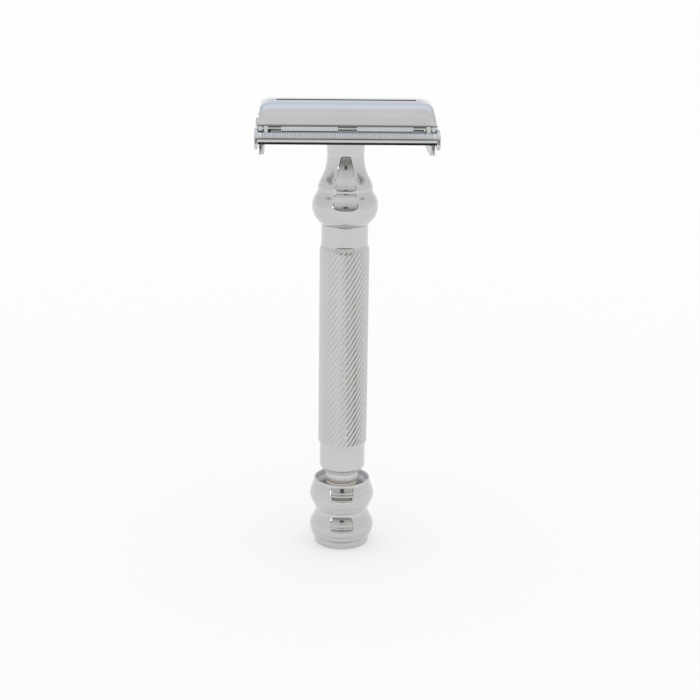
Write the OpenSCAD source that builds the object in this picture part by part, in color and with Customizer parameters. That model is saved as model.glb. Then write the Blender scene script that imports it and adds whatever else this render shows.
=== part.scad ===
// Twist-to-open double-edge safety razor.
// Z points up from the flat of the turning knob, X runs along the head.
// The front door is on the -Y side.
// Turning the knob screws the drive rod up, which lifts the yoke, and the two doors swing open on it.

/* [Knob] */
// Radius of the knob at its foot
foot_r = 7.25; // [7:0.05:7.4]
// Radius of the two bulges
bulge_r = 8.52; // [8.2:0.02:8.8]
// Radius of the waist between the bulges
waist_r = 6.96; // [6.9:0.02:7.4]
// Outside radius of the cup's rim
rim_r = 7.4; // [7.4:0.02:7.8]
// Height of the cup's rim
rim_z = 18.3; // [18:0.1:19]
// Inside radius of the cup
cup_r = 6.4; // [6.3:0.05:6.5]
// Height of the cup's floor
cup_z = 8; // [7.4:0.1:8.2]
// Thickness of the end cap's flange
cap_t = 2.0; // [1.8:0.1:2.2]

/* [Handle] */
// Radius of the fluted grip
grip_r = 6.4; // [6.3:0.05:6.8]
// Radius of the plain barrel on both sides of the grip
barrel_r = 6.0; // [5.7:0.05:6.2]
// Radius of the nose at the barrel's lower end
nose_r = 4.25; // [4.2:0.05:4.5]
// Height of the nose's lower face
nose_z = 18.5; // [18.3:0.1:18.8]
// Height where the fluted grip starts
grip_z0 = 29; // [27:0.5:32]
// Height where the fluted grip ends
grip_z1 = 81.2; // [78:0.2:82]
// Height of the joint between the barrel and the neck collar
collar_z = 87.65; // [86:0.05:88.5]

/* [Neck] */
// Largest radius of the collar's bulb
bulb_r = 8.46; // [8.2:0.02:8.6]
// Height of the bulb's largest radius
bulb_z = 92.25; // [92:0.05:92.5]
// Smallest radius of the neck
neck_r = 4.71; // [4.6:0.01:4.9]

/* [Blade] */
// Length of the blade over its end tabs
blade_l = 43; // [42.8:0.1:43.2]
// Length of the cutting edges
edge_l = 37.4; // [37:0.1:37.6]
// Width of the blade between its edges, measured flat
blade_w = 22; // [21.8:0.1:22]
// Width of the end tabs
tab_w = 13.4; // [12.8:0.1:13.6]
// Thickness of the blade
blade_t = 0.1; // [0.1:0.01:0.12]
// Radius that the closed doors bend the blade to
bend_r = 45; // [44:0.5:47]

/* [Head] */
// Height of the guard plate's web underside
web_z = 109.8; // [109.7:0.05:109.9]
// Height of the seat that the middle of the blade lies on
seat_z = 113.9; // [113.85:0.01:113.92]
// Half length of the guard plate's web
web_x = 18.9; // [18.5:0.1:19]
// Height of the crest where the doors meet
crest_z = 119.1; // [118.95:0.05:119.2]
// Half length of each door's lip, between the end plates
door_x = 21.65; // [21.5:0.05:21.7]
// Half length of each door where its ends flare out over the end plates
flare_x = 22.15; // [21.9:0.05:22.3]
// Thickness of the doors' sheet
door_t = 0.9; // [0.7:0.05:1]
// Outer half length of the head, over the end plates
head_x = 22.8; // [22.6:0.05:23]
// Outer half width of the head, over the guard bars
head_y = 12.95; // [12.9:0.01:13]

/* [Mechanism] */
// Travel of the yoke, the rod and the knob from closed to open
travel = 3.5; // [3.3:0.05:3.5]
// Half distance between the door pivots
pivot_y = 9.9; // [9.85:0.01:9.95]
// Height of the door pivots with the doors closed
pivot_z = 111.85; // [111.8:0.01:111.9]
// Radius of the door pivot pins
pin_r = 0.45; // [0.4:0.01:0.48]
// Radius of the drive rod
rod_r = 1.75; // [1.6:0.01:1.8]
// Radial clearance of the running fits
run_gap = 0.06; // [0.04:0.01:0.1]

/* [Hidden] */
$fn = 96;

eps = 0.01;                      // extra depth of a cut past a face
chrome = [0.80, 0.81, 0.83];
dark_chrome = [0.66, 0.67, 0.70];
brass = [0.78, 0.66, 0.40];
steel = [0.60, 0.62, 0.65];

// Thread and bush
thread_r = 2.4;                  // crest radius of the rod's screw thread
thread_z0 = 9;
thread_z1 = 32;
bush_r = 4.15;                   // the sleeve that hangs below the nose
bush_z0 = cup_z + travel + 1.1;  // the cup's floor stays clear of it when the knob has risen
bush_seat_r = 3.4;               // the part that is screwed up into the barrel
bush_z1 = 27;
barrel_bore_r = 2.9;
spigot_r = 4.2;                  // the barrel's socket for the neck collar's spigot
spigot_gap = 0.02;               // fit of the spigot in its socket
spigot_z = 78;
bush_chamfer = 0.3;

// Neck collar
collar_top_r = 6.2;
bulb_arc_r = 5.47;               // radius of the bulb's outline
bulb_low_a = -53;                // where that arc starts and ends, in degrees above its middle
bulb_high_a = 37;
flange_z = 109;                  // underside of the flange that the guard is riveted to

// Knob's inside
cap_socket_r = 3.5;
cap_socket_z = 4.2;
screw_head_r = 2.2;
screw_head_t = 0.9;
knob_web_z = cap_socket_z + screw_head_t + 0.1;
screw_r = 0.8;
rim_wall = 0.4;                  // thickness of the cup's rim
rim_step = 1.4;                  // depths below the rim where the wall starts and stops thickening
cup_step = 2.6;
foot_chamfer = 0.35;
cap_gap = 0.1;                   // between the cap's spigot and the floor of its socket
screw_top_z = 12;

// Yoke, thrust collar, washer and nut on the rod's top end
yoke_z0 = 108.4;
yoke_t = 1.2;
yoke_y = 1.9;
tip_r = 1.1;                     // the rod's turned-down top end
thrust_r = 2.2;
thrust_t = 0.7;
thrust_gap = 0.1;                // end play between the yoke and the parts that turn
washer_t = 0.2;
nut_r = 1.9;
nut_t = 0.55;
tunnel_y = 2.35;                 // half width of the channel that the yoke rises in
well_gap = 0.3;                  // room round the thrust collar in the neck
yoke_gap = 0.2;                  // room on both sides of the yoke in the neck's slot
yoke_rest = 0.15;                // room under the yoke with the doors closed

// Cheeks, door arms and end plates, from the inside outwards along X
arm_x0 = 19.5;
arm_x1 = 20.45;
cheek_x0 = 20.8;
cheek_x1 = 21.65;
end_plate_x0 = 21.95;
ear_r = 0.85;
cheek_z0 = 106.8;
cradle_x0 = 20.45;               // the cheeks' lower part is thicker, inwards up to here
cradle_z = 109.6;                // its upper edge
cradle_step_y = 1.2;
cradle_step_z = 0.8;
cheek_corner_r = 1.6;

// Guard
web_t = 1.0;
apron_x = 20.1;                  // half length of the flat web outside the rib
land_gap = 0.06;                 // between the lands and the blade
rib_flat_y = 1.2;
rib_corner = 0.35;
rib_slope = 0.12;
rib_roof = 0.7;
rib_y = 3.2;                     // half width of the raised rib that carries the blade
land_y0 = 8.7;
land_y1 = 10.3;
bar_y0 = 11.25;
bar_bottom_z = 110;
bar_top_z = 112.6;
seat_hole_r = 2.3;
ridge_y = 0.5;
ridge_x0 = 4.2;
ridge_x1 = 17;
ridge_h = 0.7;
rivet_r = 0.7;
rivet_head_r = 1.1;
rivet_head_t = 0.5;
rivet_x = 1.9;
rivet_y = 4.6;
rivet_z0 = 109.15;

// End plates
plate_top_z = 113.2;
lobe_r = 1.45;                   // the rounded lobes under both ends of a plate
lobe_z = 109.95;
plate_under_z = 109.6;           // the lower edge between the lobes
plate_flat_y = 9.6;
plate_horn_y = 8;                // the top edge is lower between its two ends
plate_dip_z = 112.3;

// Blade
blade_gap = 0.05;                // between the seat and the blade
bend_z = seat_z + blade_gap - bend_r;
slot_y = 0.65;
slot_x = 17.6;
blade_hole_r = 2.5;

// Doors
lip_y = 10.55;
lip_z = 112.85;
crease_y = 9.75;
crease_z = 113.95;
notch_z = 114.2;
notch_mid_x = 2.35;
notch_x0 = 16.2;
notch_x1 = 20.8;
notch_y = 9.4;                   // the notches leave the inner part of the sheet standing
wall_z = 114.9;                  // lower edge of the wall that closes a door's end
wall_foot_z = 113.4;             // the same beside the lip
end_wall_x0 = 20.9;              // inner face of that wall
meet_y = 0.12;                   // distance of the doors' meeting faces from the middle
seam_y = 0.9;                    // the same along the seam's recess
seam_x = 17.5;                   // half length of that recess
flare_z = 114.3;                 // height of the widest part of a door
corner_x = 3.2;                  // rounding of the doors' top end corners, along X and Z
corner_z = 1.7;

// A smooth curve through the points p, with n steps from each point to the next
function smooth_curve(p, n) = [
  for (i = [0 : len(p) - 2])
    let (a = p[max(i - 1, 0)], b = p[i], c = p[i + 1], d = p[min(i + 2, len(p) - 1)])
    for (k = [0 : n - 1])
      let (t = k / n)
      0.5 * (2 * b + (c - a) * t + (2 * a - 5 * b + 4 * c - d) * pow(t, 2)
        + (3 * b - a - 3 * c + d) * pow(t, 3)),
  p[len(p) - 1]
];

// An arc of radius r about c, from angle a0 to a1, in n steps
function arc(c, r, a0, a1, n) = [
  for (k = [0 : n])
    let (a = a0 + (a1 - a0) * k / n)
    c + r * [cos(a), sin(a)]
];

// The curve p moved sideways by t, to the left of its direction
function beside(p, t) = [
  for (i = [0 : len(p) - 1])
    let (d = p[min(i + 1, len(p) - 1)] - p[max(i - 1, 0)])
    p[i] + t * [-d[1], d[0]] / norm(d)
];

function reversed(p) = [for (i = [len(p) - 1 : -1 : 0]) p[i]];

// The points p in reverse order on the other side of the middle, which closes a symmetric outline
function mirrored(p) = [for (q = reversed(p)) [-q[0], q[1]]];

// Height of the blade's underside at the distance y from the middle
function blade_under(y) = bend_z + sqrt(bend_r * bend_r - y * y);

// An outline in Y and Z, extruded along X from x0 to x1
module along_x(x0, x1) {
  translate([x0, 0, 0])
    rotate([90, 0, 90])
      linear_extrude(x1 - x0)
        children();
}

// The part and its mirror image across the plane through the middle, left to right or front to rear
module both_ends() {
  children();
  mirror([1, 0, 0]) children();
}

module both_sides() {
  children();
  mirror([0, 1, 0]) children();
}

module tube(r, bore, z0, z1) {
  translate([0, 0, z0])
    difference() {
      cylinder(r = r, h = z1 - z0);
      translate([0, 0, -eps]) cylinder(r = bore, h = z1 - z0 + 2 * eps);
    }
}

module disc(r, z0, z1) {
  translate([0, 0, z0]) cylinder(r = r, h = z1 - z0);
}

// ---- handle ----

module handle_barrel() {
  end_curve = smooth_curve([
    [nose_r, nose_z + 1.5], [nose_r + 0.45, nose_z + 1.95], [barrel_r - 0.5, nose_z + 2.7],
    [barrel_r - 0.14, nose_z + 3.25], [barrel_r, nose_z + 3.8]
  ], 4);
  color(chrome)
    rotate_extrude()
      polygon(concat(
        [[bush_seat_r, nose_z], [nose_r, nose_z]],
        end_curve,
        [
          [barrel_r, grip_z0 - 1], [grip_r, grip_z0], [grip_r, grip_z1], [barrel_r, grip_z1 + 1],
          [barrel_r, collar_z], [spigot_r, collar_z], [spigot_r, spigot_z],
          [barrel_bore_r, spigot_z], [barrel_bore_r, bush_z1], [bush_seat_r, bush_z1]
        ]
      ));
}

module neck_collar() {
  bulb = arc([bulb_r - bulb_arc_r, bulb_z], bulb_arc_r, bulb_low_a, bulb_high_a, 18);
  neck = smooth_curve([
    [7.0, bulb_z + 4.3], [6.98, bulb_z + 5.2], [6.56, bulb_z + 6.45], [5.6, bulb_z + 8.4],
    [4.98, bulb_z + 10.5], [neck_r, bulb_z + 13.2], [neck_r + 0.13, bulb_z + 15.15],
    [neck_r + 0.16, flange_z]
  ], 4);
  color(chrome)
    difference() {
      rotate_extrude()
        polygon(concat(
          [
            [0, spigot_z + spigot_gap], [spigot_r - spigot_gap, spigot_z + spigot_gap],
            [spigot_r - spigot_gap, collar_z], [barrel_r, collar_z]
          ],
          bulb, neck,
          [[collar_top_r, flange_z], [collar_top_r, web_z], [0, web_z]]
        ));
      disc(rod_r + run_gap, spigot_z - eps, web_z + eps);
      disc(thrust_r + well_gap, yoke_z0 - thrust_t - well_gap, web_z + eps);
      translate([-collar_top_r - 1, -yoke_y - yoke_gap, yoke_z0 - yoke_rest])
        cube([2 * collar_top_r + 2, 2 * (yoke_y + yoke_gap), web_z]);
      both_sides()
        both_ends()
          translate([rivet_x, rivet_y, rivet_z0]) cylinder(r = rivet_r, h = 2);
    }
}

module thread_bush() {
  color(brass)
    rotate_extrude()
      polygon([
        [thread_r + run_gap, bush_z0], [bush_r - bush_chamfer, bush_z0],
        [bush_r, bush_z0 + bush_chamfer],
        [bush_r, nose_z], [bush_seat_r, nose_z], [bush_seat_r, bush_z1], [thread_r + run_gap, bush_z1]
      ]);
}

// ---- guard ----

// One half of the guard's section, with the blade's bed on the left and the guard bar on the right
module guard_half_section() {
  polygon([
    [rib_y, web_z], [head_y - 0.5, web_z], [head_y - 0.12, bar_bottom_z], [head_y, bar_bottom_z + 0.6],
    [head_y - 0.05, bar_top_z - 1.1], [head_y - 0.45, bar_top_z - 0.64], [bar_y0 + 0.15, bar_top_z],
    [bar_y0, bar_top_z - 0.1],
    [bar_y0, web_z + web_t], [land_y1, web_z + web_t], [land_y1, blade_under(land_y1) - land_gap],
    [land_y0, blade_under(land_y0) - land_gap], [land_y0, web_z + web_t], [rib_y, web_z + web_t]
  ]);
}

module bar_section() {
  intersection() {
    guard_half_section();
    translate([bar_y0, web_z - 1]) square([4, 6]);
  }
}

// The channel-shaped rib along the middle, open below, that the yoke rises in
module rib_section() {
  difference() {
    polygon([
      [-rib_y, web_z], [-rib_y, seat_z - rib_corner], [-rib_y + rib_corner, seat_z - rib_slope],
      [-rib_flat_y, seat_z], [rib_flat_y, seat_z],
      [rib_y - rib_corner, seat_z - rib_slope], [rib_y, seat_z - rib_corner], [rib_y, web_z]
    ]);
    translate([-tunnel_y, web_z - 1]) square([2 * tunnel_y, seat_z - rib_roof - web_z + 1]);
  }
}

module guard_plate() {
  color(chrome)
    difference() {
      union() {
        both_sides() {
          along_x(-web_x, web_x) guard_half_section();
          along_x(-end_plate_x0, end_plate_x0) bar_section();
          translate([-apron_x, rib_y, web_z]) cube([2 * apron_x, bar_y0 - rib_y + eps, web_t]);
        }
        along_x(-web_x, web_x) rib_section();
        both_ends()
          translate([ridge_x0, -ridge_y, seat_z - 0.2])
            cube([ridge_x1 - ridge_x0, 2 * ridge_y, ridge_h + 0.2]);
      }
      disc(seat_hole_r, web_z, seat_z + 1);
      both_sides()
        both_ends()
          translate([rivet_x, rivet_y, web_z - 1]) cylinder(r = rivet_r, h = 3);
    }
}

module guard_rivets() {
  color(steel)
    both_sides()
      both_ends()
        translate([rivet_x, rivet_y, 0]) {
          disc(rivet_r, rivet_z0, web_z + web_t);
          disc(rivet_head_r, web_z + web_t, web_z + web_t + rivet_head_t);
        }
}

module end_plate_outline() {
  lobe = arc([head_y - lobe_r, lobe_z], lobe_r, 0, -115, 12);
  half = concat(
    [
      [plate_horn_y - 0.8, plate_dip_z], [plate_horn_y, plate_top_z],
      [plate_flat_y, plate_top_z], [plate_flat_y + 0.8, plate_top_z - 0.15],
      [head_y - 0.6, plate_top_z - 1],
      [head_y - 0.1, plate_top_z - 1.6], [head_y, plate_top_z - 2.3]
    ],
    lobe,
    [[plate_flat_y - 0.4, plate_under_z]]
  );
  polygon(concat(half, mirrored(half)));
}

module right_end_plate() {
  color(chrome)
    along_x(end_plate_x0, head_x)
      end_plate_outline();
}

module left_end_plate() {
  mirror([1, 0, 0]) right_end_plate();
}

// ---- blade ----

module razor_blade() {
  half_angle = (blade_w / 2) / (bend_r + blade_t / 2) * 180 / PI;
  tab_angle = (tab_w / 2) / (bend_r + blade_t / 2) * 180 / PI;
  color(steel)
    difference() {
      union() {
        along_x(-edge_l / 2, edge_l / 2) bent_strip(half_angle);
        along_x(-blade_l / 2, blade_l / 2) bent_strip(tab_angle);
      }
      translate([-slot_x, -slot_y, seat_z - 1]) cube([2 * slot_x, 2 * slot_y, 3]);
      disc(blade_hole_r, seat_z - 1, seat_z + 2);
    }
}

module bent_strip(a) {
  polygon(concat(
    arc([0, bend_z], bend_r, 90 - a, 90 + a, 16),
    arc([0, bend_z], bend_r + blade_t, 90 + a, 90 - a, 16)
  ));
}

// ---- yoke ----

module yoke_bar() {
  color(dark_chrome)
    difference() {
      translate([-cradle_x0, -yoke_y, yoke_z0]) cube([2 * cradle_x0, 2 * yoke_y, yoke_t]);
      disc(tip_r + run_gap, yoke_z0 - eps, yoke_z0 + yoke_t + eps);
    }
}

module cheek_outline() {
  arm_y = pivot_y - ear_r;
  difference() {
    union() {
      polygon(concat(
        [[-arm_y, pivot_z], [-pivot_y - ear_r, pivot_z]],
        arc([-pivot_y - ear_r + cheek_corner_r, cheek_z0 + cheek_corner_r], cheek_corner_r, 180, 270, 6),
        arc([pivot_y + ear_r - cheek_corner_r, cheek_z0 + cheek_corner_r], cheek_corner_r, 270, 360, 6),
        [
          [pivot_y + ear_r, pivot_z], [arm_y, pivot_z], [arm_y, cradle_z + cradle_step_z],
          [arm_y - cradle_step_y, cradle_z], [-arm_y + cradle_step_y, cradle_z],
          [-arm_y, cradle_z + cradle_step_z]
        ]
      ));
      translate([pivot_y, pivot_z]) circle(r = ear_r);
      translate([-pivot_y, pivot_z]) circle(r = ear_r);
    }
    translate([pivot_y, pivot_z]) circle(r = pin_r);
    translate([-pivot_y, pivot_z]) circle(r = pin_r);
  }
}

module right_cheek() {
  color(chrome) {
    along_x(cheek_x0, cheek_x1)
      cheek_outline();
    along_x(cradle_x0, cheek_x1)
      intersection() {
        cheek_outline();
        translate([-head_y, cheek_z0 - 1]) square([2 * head_y, cradle_z - cheek_z0 + 1]);
      }
  }
}

module left_cheek() {
  mirror([1, 0, 0]) right_cheek();
}

module front_pivot_pins() {
  color(steel)
    both_ends()
      along_x(arm_x0, cheek_x1)
        translate([-pivot_y, pivot_z]) circle(r = pin_r);
}

module rear_pivot_pins() {
  mirror([0, 1, 0]) front_pivot_pins();
}

// ---- drive rod and knob ----

module drive_rod() {
  color(steel)
    difference() {
      union() {
        disc(rod_r, knob_web_z, yoke_z0 - thrust_gap);
        disc(thread_r, thread_z0, thread_z1);
        disc(tip_r, yoke_z0 - thrust_gap - eps, yoke_z0 + yoke_t + thrust_gap + washer_t + nut_t);
      }
      disc(screw_r, knob_web_z - eps, screw_top_z);
    }
}

module thrust_collar() {
  color(brass) tube(thrust_r, rod_r, yoke_z0 - thrust_gap - thrust_t, yoke_z0 - thrust_gap);
}

module thrust_washer() {
  z0 = yoke_z0 + yoke_t + thrust_gap;
  color(brass) tube(nut_r, tip_r, z0, z0 + washer_t);
}

module rod_nut() {
  z0 = yoke_z0 + yoke_t + thrust_gap + washer_t;
  color(steel) tube(nut_r - 0.1, tip_r, z0, z0 + nut_t);
}

module knob_shell() {
  wall = smooth_curve([
    [foot_r + 0.05, cap_t], [foot_r + 0.65, cap_t + 0.6], [bulge_r - 0.2, cap_t + 1.8], [bulge_r, 5.1],
    [bulge_r - 0.3, 6.35], [waist_r + 0.4, 8.1], [waist_r, 9.5], [waist_r + 0.38, 10.55],
    [bulge_r - 0.42, 12.2], [bulge_r, 13.8], [bulge_r - 0.2, 15], [rim_r + 0.45, 16.45],
    [rim_r, rim_z - 0.7]
  ], 4);
  color(chrome)
    difference() {
      rotate_extrude()
        polygon(concat(
          [[0, cap_t]],
          wall,
          [
            [rim_r, rim_z], [rim_r - rim_wall, rim_z], [rim_r - rim_wall, rim_z - rim_step],
            [cup_r, rim_z - cup_step], [cup_r, cup_z], [0, cup_z]
          ]
        ));
      disc(cap_socket_r, cap_t - eps, cap_socket_z);
      disc(screw_head_r + 0.1, cap_t, knob_web_z);
      disc(rod_r, cap_t, cup_z + 1);
    }
}

module knob_end_cap() {
  color(chrome)
    rotate_extrude()
      polygon([
        [0, 0], [foot_r - foot_chamfer, 0], [foot_r, foot_chamfer], [foot_r, cap_t],
        [cap_socket_r, cap_t], [cap_socket_r, cap_socket_z - cap_gap], [0, cap_socket_z - cap_gap]
      ]);
}

module knob_lock_screw() {
  color(steel) {
    disc(screw_head_r, cap_socket_z + 0.05, knob_web_z);
    disc(screw_r, knob_web_z, screw_top_z - 0.5);
  }
}

// ---- doors ----

// Outer and inner face of the front door's sheet, from the crest to the lip
door_outer = smooth_curve([
  [-meet_y, crest_z], [-2.6, crest_z - 0.03], [-4.9, crest_z - 0.16], [-6.9, crest_z - 0.95],
  [-8.4, crest_z - 2.35], [-9.35, crest_z - 4.1], [-crease_y, crease_z]
], 4);
door_inner = beside(door_outer, door_t);

module door_section() {
  polygon(concat(
    door_outer,
    [
      [-lip_y, lip_z + 0.12], [-lip_y, lip_z], [-crease_y + 0.05, lip_z + 0.3],
      [-crease_y + 0.65, crease_z - 0.35]
    ],
    reversed(door_inner)
  ));
}

// The wall that closes each end of a door, above the blade's tab
module door_end_wall_section() {
  polygon(concat(
    door_outer,
    [
      [-crease_y - 0.25, wall_foot_z], [-crease_y + 0.85, wall_foot_z],
      [-crease_y + 2.15, wall_z], [-meet_y, wall_z]
    ]
  ));
}

module door_arm_section() {
  difference() {
    union() {
      translate([-pivot_y, pivot_z]) circle(r = ear_r);
      polygon([
        [-pivot_y - ear_r, pivot_z], [-pivot_y - 0.6, pivot_z + 1.15], [-pivot_y + 0.3, pivot_z + 2.15],
        [-pivot_y + 1, pivot_z + 3.35], [-pivot_y + 1.9, pivot_z + 3.35],
        [-pivot_y + 1.6, pivot_z + 1.75], [-pivot_y + ear_r, pivot_z]
      ]);
    }
    translate([-pivot_y, pivot_z]) circle(r = pin_r + run_gap);
  }
}

// The doors' outline from the front: ends that flare out over the end plates, and rounded top corners
module door_front_outline() {
  top_x = door_x - 0.3;
  corner = [
    for (a = [0 : 15 : 90])
      [top_x - corner_x + corner_x * cos(a), crest_z + 0.1 - corner_z + corner_z * sin(a)]
  ];
  half = concat(
    [
      [door_x, 105], [door_x, plate_top_z + 0.25], [flare_x, plate_top_z + 0.35], [flare_x, flare_z],
      [door_x + 0.1, flare_z + 1.3], [top_x + 0.1, flare_z + 2.2]
    ],
    corner
  );
  polygon(concat(half, mirrored(half)));
}

module notch_box(x0, x1) {
  translate([x0, -12, 110]) cube([x1 - x0, 12 - notch_y, notch_z - 110]);
}

module lip_notches() {
  notch_box(-notch_mid_x, notch_mid_x);
  both_ends() notch_box(notch_x0, notch_x1);
}

module front_door() {
  color(chrome)
    intersection() {
      union() {
        difference() {
          along_x(-flare_x, flare_x) door_section();
          lip_notches();
          translate([-seam_x, -seam_y, wall_z]) cube([2 * seam_x, 1, crest_z]);
        }
        both_ends() {
          along_x(end_wall_x0, flare_x) door_end_wall_section();
          along_x(arm_x0, arm_x1) door_arm_section();
        }
      }
      translate([0, 13, 0]) rotate([90, 0, 0]) linear_extrude(26) door_front_outline();
    }
}

module rear_door() {
  mirror([0, 1, 0]) front_door();
}

handle_barrel();
neck_collar();
thread_bush();
guard_plate();
guard_rivets();
left_end_plate();
right_end_plate();
razor_blade();
yoke_bar();
left_cheek();
right_cheek();
front_pivot_pins();
rear_pivot_pins();
drive_rod();
thrust_collar();
thrust_washer();
rod_nut();
knob_shell();
knob_end_cap();
knob_lock_screw();
front_door();
rear_door();
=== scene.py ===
"""Looks of a twist-to-open double-edge safety razor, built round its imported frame.

Lengths in the shape functions are millimetres; MM turns them into metres when a mesh is made.
"""

import math

import bmesh
import bpy
from mathutils import Matrix, Vector

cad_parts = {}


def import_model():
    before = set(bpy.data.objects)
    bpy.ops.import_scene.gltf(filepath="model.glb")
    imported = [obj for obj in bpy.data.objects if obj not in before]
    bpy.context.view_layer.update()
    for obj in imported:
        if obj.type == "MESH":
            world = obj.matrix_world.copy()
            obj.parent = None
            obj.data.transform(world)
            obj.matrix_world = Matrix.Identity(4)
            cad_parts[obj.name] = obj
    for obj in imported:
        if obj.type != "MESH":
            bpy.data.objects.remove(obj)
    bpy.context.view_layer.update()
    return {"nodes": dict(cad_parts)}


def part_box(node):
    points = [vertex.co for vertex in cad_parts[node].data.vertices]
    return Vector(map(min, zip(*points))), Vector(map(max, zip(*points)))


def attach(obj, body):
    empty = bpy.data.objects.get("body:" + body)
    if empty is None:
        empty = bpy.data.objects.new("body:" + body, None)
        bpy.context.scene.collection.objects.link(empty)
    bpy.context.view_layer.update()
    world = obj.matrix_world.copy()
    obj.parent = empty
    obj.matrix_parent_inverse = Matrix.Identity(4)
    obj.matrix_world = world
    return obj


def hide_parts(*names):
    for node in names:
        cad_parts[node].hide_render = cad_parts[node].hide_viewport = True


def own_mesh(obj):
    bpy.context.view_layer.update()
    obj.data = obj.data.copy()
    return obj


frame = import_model()

MM = 0.001
COLUMNS = 192


def box_mm(node):
    """A node's lowest and highest corners in millimetres."""
    low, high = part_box(node)
    return low / MM, high / MM


# ---- driving sizes, from the frame ----

knob_low, knob_high = box_mm("knob_shell")
cap_high = box_mm("knob_end_cap")[1]
barrel_low, barrel_high = box_mm("handle_barrel")
collar_low, collar_high = box_mm("neck_collar")
bush_low, bush_high = box_mm("thread_bush")
guard_high = box_mm("guard_plate")[1]
plate_low, plate_high = box_mm("right_end_plate")
blade_high = box_mm("razor_blade")[1]
cheek_low, cheek_high = box_mm("right_cheek")
rod_low, rod_high = box_mm("drive_rod")
door_high = box_mm("front_door")[1]
pins_low, pins_high = box_mm("front_pivot_pins")

# Knob
FOOT_R = cap_high.x
CAP_T = knob_low.z
BULGE_R = knob_high.x
RIM_Z = knob_high.z
WAIST_R = BULGE_R - 1.56
RIM_R = BULGE_R - 1.12
RIM_WALL = 0.4
CUP_R = RIM_R - 1
CUP_Z = 8
SOCKET_R = 3.5
SOCKET_Z = 4.2
HEAD_R = 2.3
KNOB_WEB_Z = 5.2

# Handle
NOSE_Z = barrel_low.z
GRIP_R = barrel_high.x
BARREL_R = GRIP_R - 0.4
NOSE_R = BARREL_R - 1.75
GRIP_Z0 = 29
GRIP_Z1 = 81.2
COLLAR_Z = barrel_high.z
SPIGOT_R = 4.2
SPIGOT_Z = collar_low.z
BORE_R = 2.9
BUSH_R = bush_high.x
BUSH_SEAT_R = 3.4
ROD_R = 1.75
THREAD_R = rod_high.x
THREAD_Z = (9, 32)
THREAD_LEAD = 1.75
THREAD_DEPTH = 0.42
THREAD_STEP = 0.11
TIP_R = 1.1
TIP_Z = 108.3
RUN_GAP = 0.06
FLUTES = 32
FLUTE_LEAD = 58
FLUTE_DEPTH = 0.17

# Neck
BULB_R = collar_high.x
BULB_Z = 92.25
BULB_ARC = 5.47
NECK_R = 4.71
WEB_Z = collar_high.z
FLANGE_Z = 109
FLANGE_R = 6.2
SHOULDER_Z = 107.4
SHOULDER_R = 2.5
SLOT_Y = 2.1
SLOT_Z = 108.25

# Head
HEAD_Y = guard_high.y
BAR_X = guard_high.x
WEB_X = 18.9
APRON_X = 20.1
SEAT_Z = 113.9
BAR_Y0 = 11.25
RIB_PITCH = 0.61
RIB_DEPTH = 0.22
RIBBED_X = 20.9
SEAM_TOP = 110.5
CREST_Z = door_high.z
DOOR_X = 21.65
FLARE_X = door_high.x
DOOR_T = 0.9
LIP_Z = 112.85
PLATE_Z = plate_high.z
LOBE_R = 1.45
HORN_Y = 8
RIDGE_X = 10.6
RIDGE_L = 12.8
PIN_R = 0.45
CRADLE_X = cheek_low.x
CHEEK_X = 20.8
CRADLE_Z = 109.6
PIVOT_Y = (pins_high.y + pins_low.y) / -2
PIVOT_Z = (pins_high.z + pins_low.z) / 2
BEND_R = 45
BLADE_HALF = 11
HONED = 0.75


# ---- outlines ----

def smooth_curve(points, steps):
    """A smooth curve through the points, with that many steps from each point to the next."""
    out = []
    last = len(points) - 1
    for i in range(last):
        a, b, c, d = (Vector(points[k]) for k in (max(i - 1, 0), i, i + 1, min(i + 2, last)))
        for k in range(steps):
            t = k / steps
            bend = (2 * a - 5 * b + 4 * c - d) * t * t + (3 * b - a - 3 * c + d) * t ** 3
            out.append(tuple(0.5 * (2 * b + (c - a) * t + bend)))
    return out + [tuple(points[last])]


def arc(centre, radius, start, end, steps):
    """Points of an arc from start to end, in degrees."""
    angles = [math.radians(start + (end - start) * k / steps) for k in range(steps + 1)]
    return [(centre[0] + radius * math.cos(a), centre[1] + radius * math.sin(a)) for a in angles]


def soften(points, size, closed=True, steps=3, limit=25):
    """The outline with each corner that turns more than limit degrees rounded off over about size."""
    out = []
    count = len(points)
    for i, point in enumerate(points):
        p = Vector(point)
        back = Vector(points[i - 1]) - p
        ahead = Vector(points[(i + 1) % count]) - p
        at_end = not closed and i in (0, count - 1)
        if at_end or (-back).angle(ahead) < math.radians(limit):
            out.append(tuple(p))
            continue
        start = p + back.normalized() * min(size, back.length * 0.45)
        end = p + ahead.normalized() * min(size, ahead.length * 0.45)
        for k in range(steps + 1):
            t = k / steps
            out.append(tuple((1 - t) ** 2 * start + 2 * t * (1 - t) * p + t * t * end))
    return out


def beside(points, distance):
    """The open curve moved sideways, to the left of its direction."""
    out = []
    for i, p in enumerate(points):
        step = Vector(points[min(i + 1, len(points) - 1)]) - Vector(points[max(i - 1, 0)])
        step.normalize()
        out.append((p[0] - step.y * distance, p[1] + step.x * distance))
    return out


def resampled(curve, step):
    """The curve with points about step apart along it."""
    out = [curve[0]]
    for a, b in zip(curve, curve[1:]):
        a, b = Vector(a), Vector(b)
        count = max(1, round((b - a).length / step))
        out += [tuple(a.lerp(b, k / count)) for k in range(1, count + 1)]
    return out


def smoothstep(low, high, value):
    t = min(max((value - low) / (high - low), 0), 1)
    return t * t * (3 - 2 * t)


# ---- meshes ----

def new_piece(name, points, faces):
    """A mesh object from points in millimetres, with its normals turned outwards."""
    mesh = bpy.data.meshes.new(name)
    mesh.from_pydata([Vector(p) * MM for p in points], [], faces)
    shape = bmesh.new()
    shape.from_mesh(mesh)
    bmesh.ops.recalc_face_normals(shape, faces=shape.faces)
    shape.to_mesh(mesh)
    shape.free()
    piece = bpy.data.objects.new(name, mesh)
    bpy.context.scene.collection.objects.link(piece)
    return piece


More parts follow.
